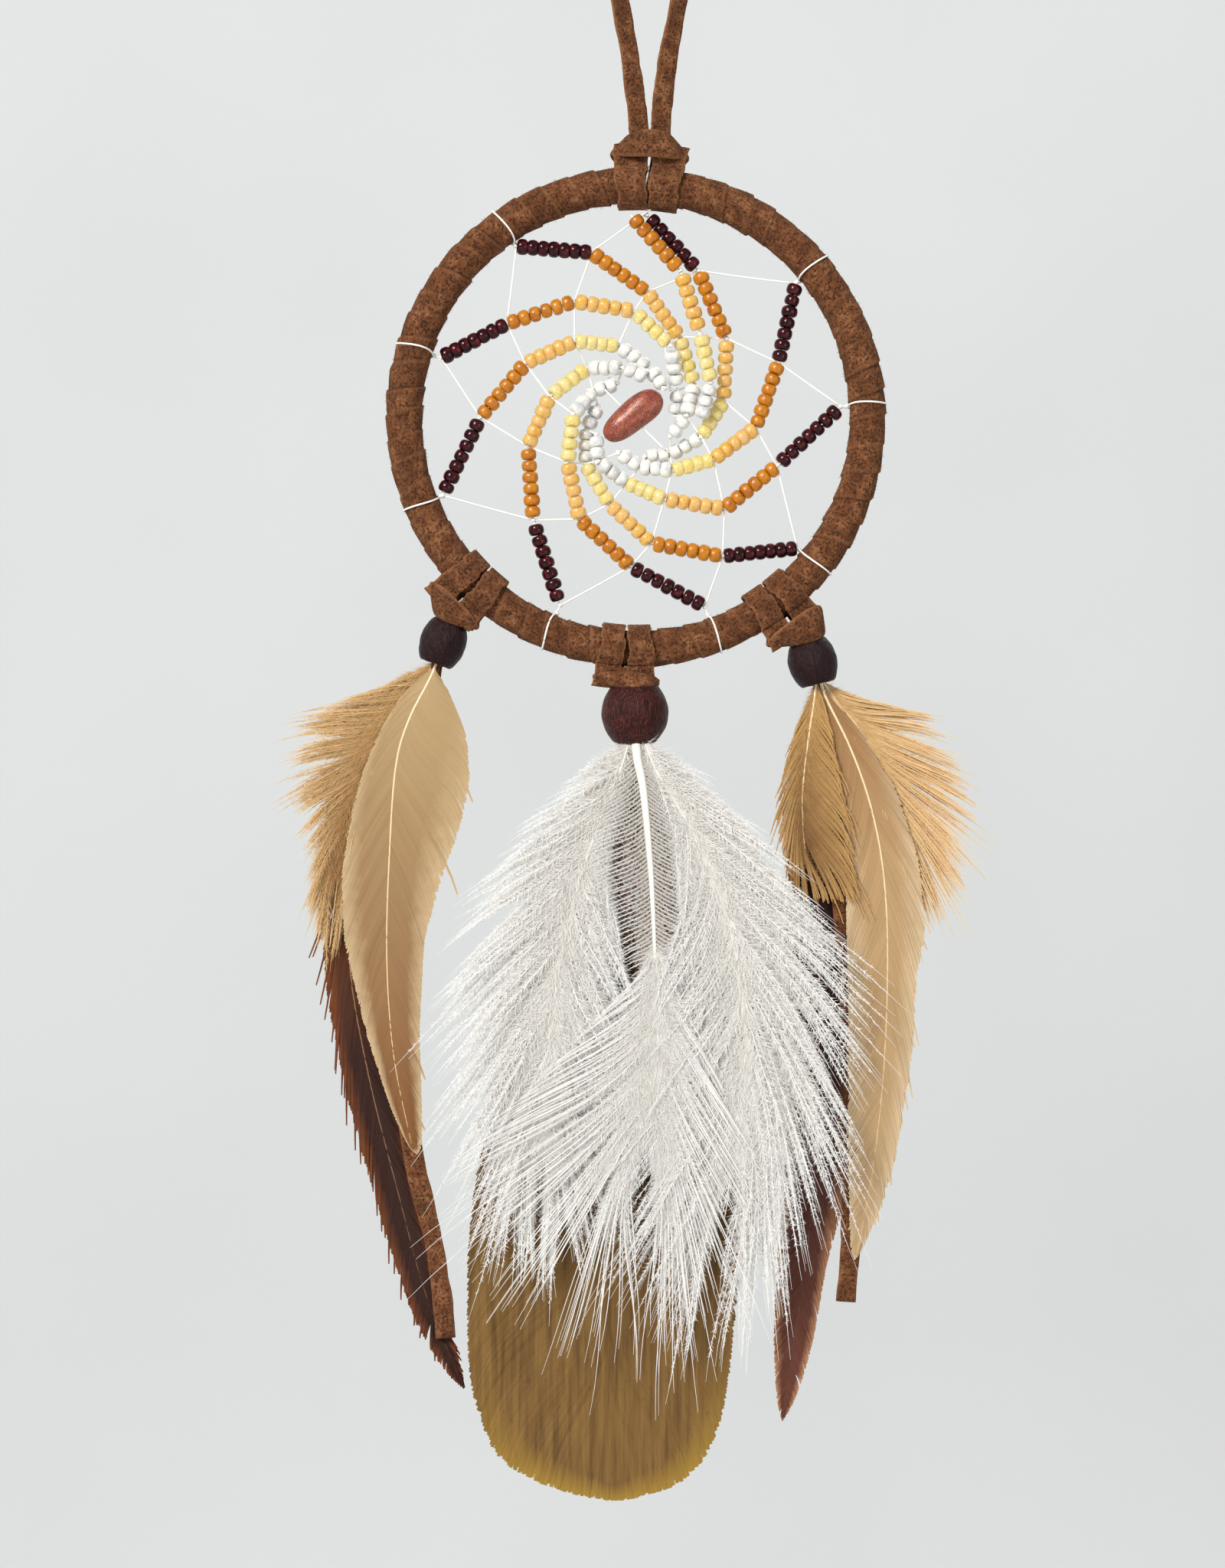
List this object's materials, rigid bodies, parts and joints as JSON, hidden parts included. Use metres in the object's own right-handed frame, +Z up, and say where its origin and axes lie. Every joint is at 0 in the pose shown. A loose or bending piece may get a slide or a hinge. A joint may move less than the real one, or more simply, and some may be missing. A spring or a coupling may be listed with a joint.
{
  "type": "dream catcher",
  "caption": "Small hanging dream catcher: a suede-wrapped hoop with a beaded spiral web, a center stone, wooden beads and feather drops on suede laces.",
  "frame": {"origin": "the inside top of the hanging loop, where a nail or hook carries the part", "axes": "+Z up, the hoop lies in the XZ plane, and the front, with the white plumes, faces -Y"},
  "size_m": [0.125, 0.0134, 0.3019],
  "materials": {
    "suede_lace": "matte suede, mottled, split side out",
    "suede_wrap": "matte suede, mottled, wound on the slant",
    "ring_metal": "drawn wire ring, hidden under the wrap",
    "web_thread": "waxed white thread",
    "garnet_glass": "glossy opaque glass",
    "amber_glass": "frosted clear glass",
    "honey_glass": "frosted clear glass",
    "straw_glass": "frosted clear glass",
    "pearl_glass": "pearl lustre glass",
    "goldstone": "polished glass with copper glitter",
    "dark_wood": "stained and waxed, semi-gloss",
    "feather_tan": "matte barbs",
    "feather_gold": "fluffy barbs",
    "feather_brown": "glossy dark barbs with tan edges",
    "feather_white": "downy barbs",
    "feather_striped": "open grey-white barbs",
    "feather_olive": "matte closed vane, gold at the edge",
    "feather_chestnut": "dark barbs with peach edges"
  },
  "bodies": {
    "loop": {"hanging_loop": "suede_lace"},
    "hanger": {"hanger_knot": "suede_lace"},
    "hoop": {"hoop_ring": "ring_metal", "suede_wrap": "suede_wrap", "web_hitches": "web_thread", "web_thread": "web_thread", "stone_thread": "web_thread", "garnet_beads": "garnet_glass", "amber_beads": "amber_glass", "honey_beads": "honey_glass", "straw_beads": "straw_glass", "pearl_beads": "pearl_glass", "left_knot": "suede_lace", "center_knot": "suede_lace", "right_knot": "suede_lace"},
    "stone": {"center_stone": "goldstone"},
    "left_drop": {"left_laces": "suede_lace", "left_wood_bead": "dark_wood"},
    "center_drop": {"center_laces": "suede_lace", "center_wood_bead": "dark_wood"},
    "right_drop": {"right_laces": "suede_lace", "right_wood_bead": "dark_wood"},
    "left_feathers": {"left_tan_feather": "feather_tan", "left_fluff_feather": "feather_gold", "left_brown_feather": "feather_brown", "left_long_tail": "suede_lace", "left_short_tail": "suede_lace"},
    "center_feathers": {"center_striped_feather": "feather_striped", "center_left_plume": "feather_white", "center_right_plume": "feather_white", "center_olive_feather": "feather_olive", "center_long_tail": "suede_lace", "center_short_tail": "suede_lace"},
    "right_feathers": {"right_gold_feather": "feather_gold", "right_tan_feather": "feather_tan", "right_fluff_feather": "feather_gold", "right_dark_feather": "feather_chestnut", "right_long_tail": "suede_lace", "right_short_tail": "suede_lace"}
  },
  "joints": [
    {"name": "hoop_twist", "type": "hinge", "parent": "loop", "child": "hanger", "pos_m": [0, 0, -0.057], "axis": [0, 0, 1], "range_deg": [-90, 90]},
    {"name": "hoop_rock", "type": "hinge", "parent": "hanger", "child": "hoop", "pos_m": [-0.00023, 0, -0.06566], "axis": [0.9986, 0, -0.0523], "range_deg": [-30, 30]},
    {"name": "stone_spin", "type": "hinge", "parent": "hoop", "child": "stone", "pos_m": [-0.0031, 0, -0.1069], "axis": [0.7071, 0, -0.7071], "continuous": true},
    {"name": "left_drop_swing", "type": "hinge", "parent": "hoop", "child": "left_drop", "pos_m": [-0.0352, 0.0015, -0.1422], "axis": [0, 1, 0], "range_deg": [0, 45]},
    {"name": "center_drop_swing", "type": "hinge", "parent": "hoop", "child": "center_drop", "pos_m": [-0.003, -0.0015, -0.1533], "axis": [0, 1, 0], "range_deg": [-14, 14]},
    {"name": "right_drop_swing", "type": "hinge", "parent": "hoop", "child": "right_drop", "pos_m": [0.0281, 0.0015, -0.1454], "axis": [0, 1, 0], "range_deg": [-45, 0]},
    {"name": "left_feather_sway", "type": "hinge", "parent": "left_drop", "child": "left_feathers", "pos_m": [-0.0384, 0.0015, -0.15105], "axis": [1, 0, 0], "range_deg": [0, 40]},
    {"name": "center_feather_sway", "type": "hinge", "parent": "center_drop", "child": "center_feathers", "pos_m": [-0.0028, -0.0015, -0.1657], "axis": [1, 0, 0], "range_deg": [-40, 0]},
    {"name": "right_feather_sway", "type": "hinge", "parent": "right_drop", "child": "right_feathers", "pos_m": [0.0303, 0.0015, -0.1547], "axis": [1, 0, 0], "range_deg": [0, 40]}
  ]
}
